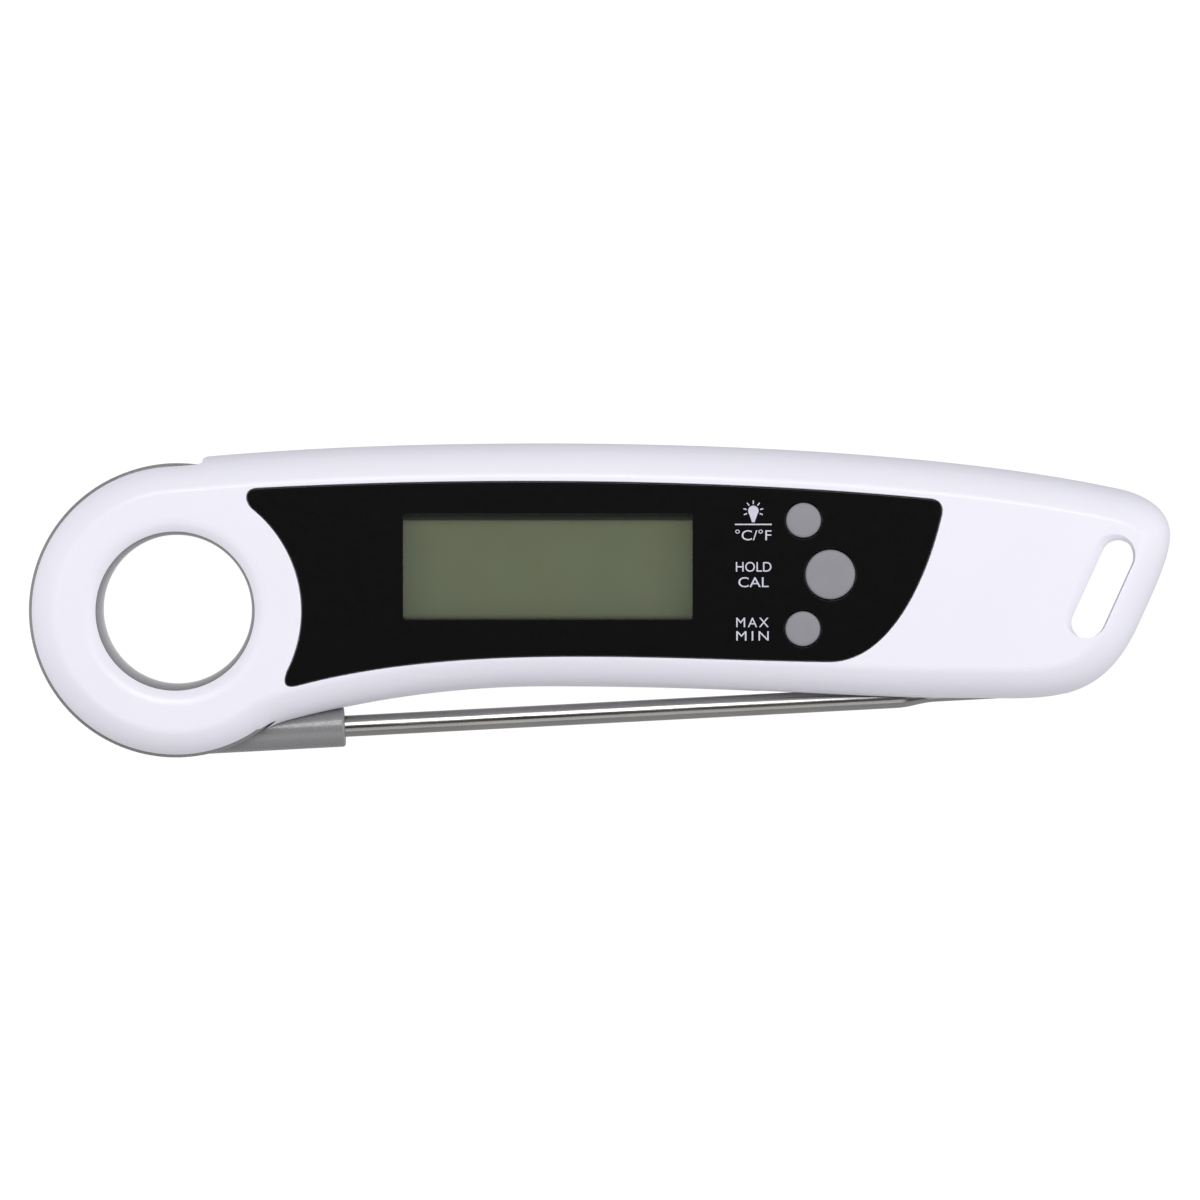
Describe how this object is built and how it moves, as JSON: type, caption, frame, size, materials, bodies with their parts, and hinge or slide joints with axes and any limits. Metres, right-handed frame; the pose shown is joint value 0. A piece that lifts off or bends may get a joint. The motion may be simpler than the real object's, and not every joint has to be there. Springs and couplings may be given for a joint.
{
  "type": "folding meat thermometer",
  "caption": "Folding digital meat thermometer: curved flat housing with a finger ring, display window, round keys, slanted hang slot and a hinged thin steel probe.",
  "frame": {"origin": "centre of the overall box, on the plane of the flat back that the object lies on", "axes": "+X along the housing from the finger ring to the hang slot, +Y towards the top edge of the display, +Z out of the display"},
  "size_m": [0.171, 0.047, 0.0194],
  "materials": {
    "white_housing": "fine satin-gloss moulded ABS",
    "panel_black": "polished black",
    "window_clear": "clear moulded lens",
    "lcd": "grey-green display film",
    "grey_key": "soft satin",
    "grey_hub": "satin moulded nylon",
    "stainless": "drawn and brushed",
    "magnet_nickel": "nickel plated",
    "screw_steel": "plated steel",
    "seal_rubber": "matte",
    "keypad_rubber": "matte silicone",
    "white_inner": "diffusing white",
    "board_green": "solder mask over glass fibre",
    "chip_black": "moulded epoxy",
    "switch_grey": "moulded",
    "lamp_clear": "clear",
    "crystal_steel": "drawn can",
    "contact_brass": "spring strip",
    "lead_sheath": "thin insulated lead"
  },
  "bodies": {
    "housing": {"front_cover": "white_housing", "rear_cover": "white_housing", "housing_gasket": "seal_rubber", "housing_screw_1": "screw_steel", "housing_screw_2": "screw_steel", "housing_screw_3": "screw_steel", "housing_screw_4": "screw_steel", "back_magnet_1": "magnet_nickel", "back_magnet_2": "magnet_nickel", "display_panel": "panel_black", "display_window": "window_clear", "lcd_glass": "lcd", "lcd_frame": "white_inner", "backlight_guide": "white_inner", "zebra_strip": "seal_rubber", "keypad_web": "keypad_rubber", "main_board": "board_green", "board_screw_1": "screw_steel", "board_screw_2": "screw_steel", "board_screw_3": "screw_steel", "controller_chip": "chip_black", "backlight_lamp": "lamp_clear", "clock_crystal": "crystal_steel", "reed_switch": "lamp_clear", "battery_cell": "magnet_nickel", "battery_contact_negative": "contact_brass", "battery_contact_positive": "contact_brass", "wave_washer": "screw_steel", "pivot_sleeve": "grey_hub", "lead_loop": "lead_sheath", "lead_tail": "lead_sheath", "light_key_skirt": "keypad_rubber", "hold_key_skirt": "keypad_rubber", "minmax_key_skirt": "keypad_rubber", "light_switch_body": "chip_black", "hold_switch_body": "chip_black", "minmax_switch_body": "chip_black"},
    "probe": {"probe_hub": "grey_hub", "probe_tube": "stainless", "thermistor": "chip_black", "probe_lead": "lead_sheath", "hub_magnet": "magnet_nickel", "hub_seal_front": "seal_rubber", "hub_seal_rear": "seal_rubber"},
    "battery_door": {"battery_door": "white_housing", "battery_door_seal": "seal_rubber"},
    "light_key": {"light_key": "grey_key"},
    "light_plunger": {"light_switch_plunger": "switch_grey"},
    "hold_key": {"hold_key": "grey_key"},
    "hold_plunger": {"hold_switch_plunger": "switch_grey"},
    "minmax_key": {"minmax_key": "grey_key"},
    "minmax_plunger": {"minmax_switch_plunger": "switch_grey"}
  },
  "joints": [
    {"name": "probe_fold", "type": "hinge", "parent": "housing", "child": "probe", "pos_m": [-0.0635, -0.0015, 0.0095], "axis": [0, 0, -1], "range_deg": [0, 180], "deforming": ["lead_loop"]},
    {"name": "light_press", "type": "slide", "parent": "housing", "child": "light_key", "axis": [0, 0, 1], "range_m": [-0.00055, 0], "stiffness_N_per_m": 2500, "deforming": ["light_key_skirt"]},
    {"name": "hold_press", "type": "slide", "parent": "housing", "child": "hold_key", "axis": [0, 0, 1], "range_m": [-0.00055, 0], "stiffness_N_per_m": 2500, "deforming": ["hold_key_skirt"]},
    {"name": "minmax_press", "type": "slide", "parent": "housing", "child": "minmax_key", "axis": [0, 0, 1], "range_m": [-0.00055, 0], "stiffness_N_per_m": 2500, "deforming": ["minmax_key_skirt"]},
    {"name": "light_plunger_travel", "type": "slide", "parent": "housing", "child": "light_plunger", "axis": [0, 0, 1], "range_m": [-0.00025, 0]},
    {"name": "hold_plunger_travel", "type": "slide", "parent": "housing", "child": "hold_plunger", "axis": [0, 0, 1], "range_m": [-0.00025, 0]},
    {"name": "minmax_plunger_travel", "type": "slide", "parent": "housing", "child": "minmax_plunger", "axis": [0, 0, 1], "range_m": [-0.00025, 0]},
    {"name": "battery_door_turn", "type": "hinge", "parent": "housing", "child": "battery_door", "pos_m": [0.036, 0.0036, 0.001], "axis": [0, 0, -1], "range_deg": [0, 40]}
  ],
  "couplings": [
    {"joint": "light_plunger_travel", "follows": "light_press", "ratio": 0.4545},
    {"joint": "hold_plunger_travel", "follows": "hold_press", "ratio": 0.4545},
    {"joint": "minmax_plunger_travel", "follows": "minmax_press", "ratio": 0.4545}
  ]
}
